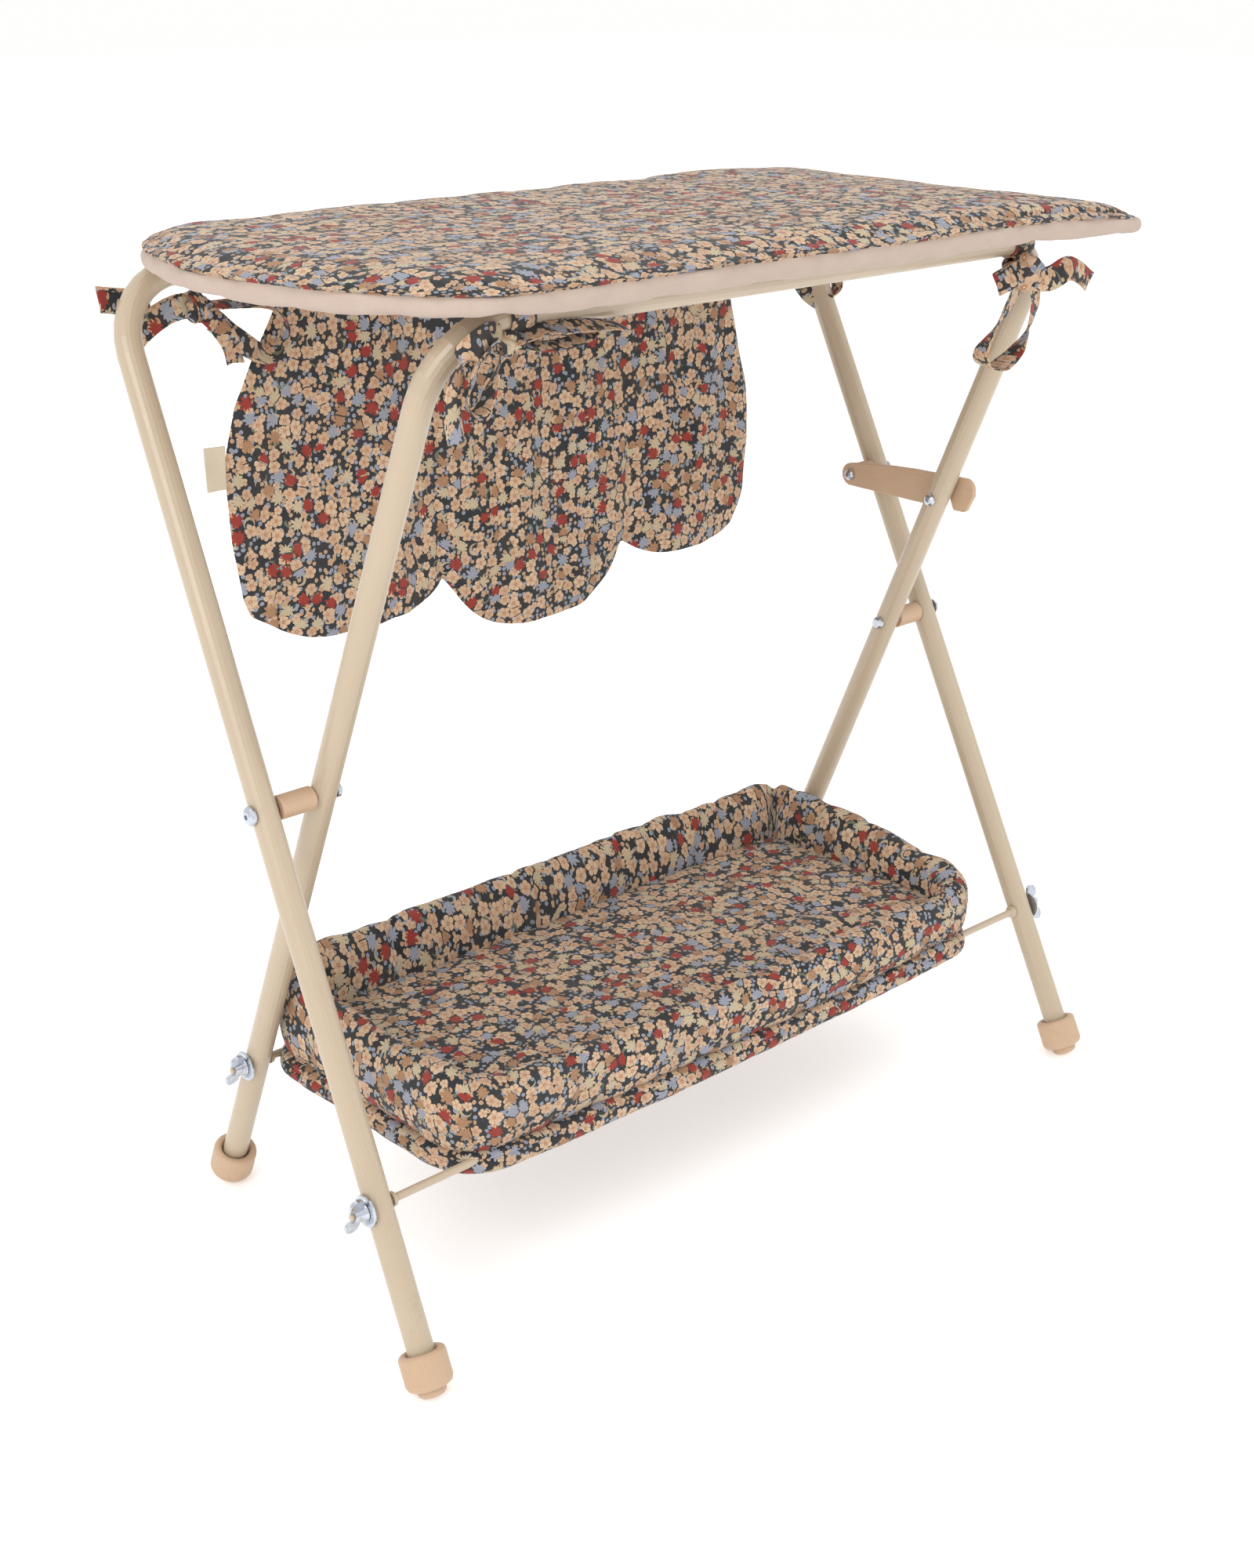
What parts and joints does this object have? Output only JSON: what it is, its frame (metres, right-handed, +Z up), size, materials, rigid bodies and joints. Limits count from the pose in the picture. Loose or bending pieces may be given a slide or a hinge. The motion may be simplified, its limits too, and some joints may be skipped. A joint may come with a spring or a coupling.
{
  "type": "folding changing table",
  "caption": "Doll-size folding changing table: crossed U-shaped tube frames, padded top, hanging organizer cloth, padded basket on rods and a hook latch.",
  "frame": {"origin": "on the floor at the centre of the whole object's footprint, under the fold axis", "axes": "+X along the bars to the latch end, +Y to the back, +Z up"},
  "size_m": [0.6264, 0.3124, 0.615],
  "materials": {
    "painted_steel": "satin beige powder coat",
    "beige_plastic": "moulded, slightly pink beige, matt",
    "zinc_hardware": "bright zinc plate",
    "print_fabric": "woven cotton, small flower print on dark ground",
    "plain_fabric": "plain cream cotton"
  },
  "bodies": {
    "outer_frame_body": {"outer_frame": "painted_steel", "front_rod": "painted_steel", "foot_front_left": "beige_plastic", "foot_front_right": "beige_plastic", "pivot_spacer_left": "beige_plastic", "pivot_spacer_right": "beige_plastic", "latch_spacer": "beige_plastic", "snap_1": "beige_plastic", "snap_2": "beige_plastic", "snap_3": "beige_plastic", "snap_4": "beige_plastic", "pivot_bolt_left": "zinc_hardware", "pivot_bolt_right": "zinc_hardware", "pivot_cap_nut_left": "zinc_hardware", "pivot_cap_nut_right": "zinc_hardware", "washer_front_left": "zinc_hardware", "washer_front_right": "zinc_hardware", "latch_screw": "zinc_hardware", "latch_cap_nut": "zinc_hardware", "changing_pad": "print_fabric", "basket": "print_fabric", "organizer": "print_fabric", "tie_back_left": "print_fabric", "tie_back_right": "print_fabric", "side_label": "plain_fabric"},
    "inner_frame_body": {"inner_frame": "painted_steel", "foot_back_left": "beige_plastic", "foot_back_right": "beige_plastic", "back_rod": "painted_steel", "washer_back_left": "zinc_hardware", "washer_back_right": "zinc_hardware", "catch_screw": "zinc_hardware", "catch_peg": "zinc_hardware", "tie_front_left": "print_fabric", "tie_front_right": "print_fabric"},
    "latch_body": {"latch_lever": "beige_plastic"},
    "wing_nut_front_left_body": {"wing_nut_front_left": "zinc_hardware"},
    "wing_nut_front_right_body": {"wing_nut_front_right": "zinc_hardware"},
    "wing_nut_back_left_body": {"wing_nut_back_left": "zinc_hardware"},
    "wing_nut_back_right_body": {"wing_nut_back_right": "zinc_hardware"}
  },
  "joints": [
    {"name": "frame_fold", "type": "hinge", "parent": "outer_frame_body", "child": "inner_frame_body", "pos_m": [0, 0, 0.308], "axis": [-1, 0, 0], "range_deg": [0, 42], "deforming": ["changing_pad", "basket"]},
    {"name": "latch_swing", "type": "hinge", "parent": "outer_frame_body", "child": "latch_body", "pos_m": [0.2573, 0.04668, 0.405], "axis": [-1, 0, 0], "range_deg": [0, 93]},
    {"name": "wing_nut_spin_front_left", "type": "hinge", "parent": "outer_frame_body", "child": "wing_nut_front_left_body", "pos_m": [-0.303, -0.09938, 0.1015], "axis": [1, 0, 0], "continuous": true},
    {"name": "wing_nut_spin_front_right", "type": "hinge", "parent": "outer_frame_body", "child": "wing_nut_front_right_body", "pos_m": [0.303, -0.09938, 0.1015], "axis": [1, 0, 0], "continuous": true},
    {"name": "wing_nut_spin_back_left", "type": "hinge", "parent": "inner_frame_body", "child": "wing_nut_back_left_body", "pos_m": [-0.262, 0.08596, 0.1015], "axis": [1, 0, 0], "continuous": true},
    {"name": "wing_nut_spin_back_right", "type": "hinge", "parent": "inner_frame_body", "child": "wing_nut_back_right_body", "pos_m": [0.262, 0.08596, 0.1015], "axis": [1, 0, 0], "continuous": true}
  ],
  "couplings": [
    {"joint": "latch_swing", "follows": "frame_fold", "ratio": 2.2}
  ]
}
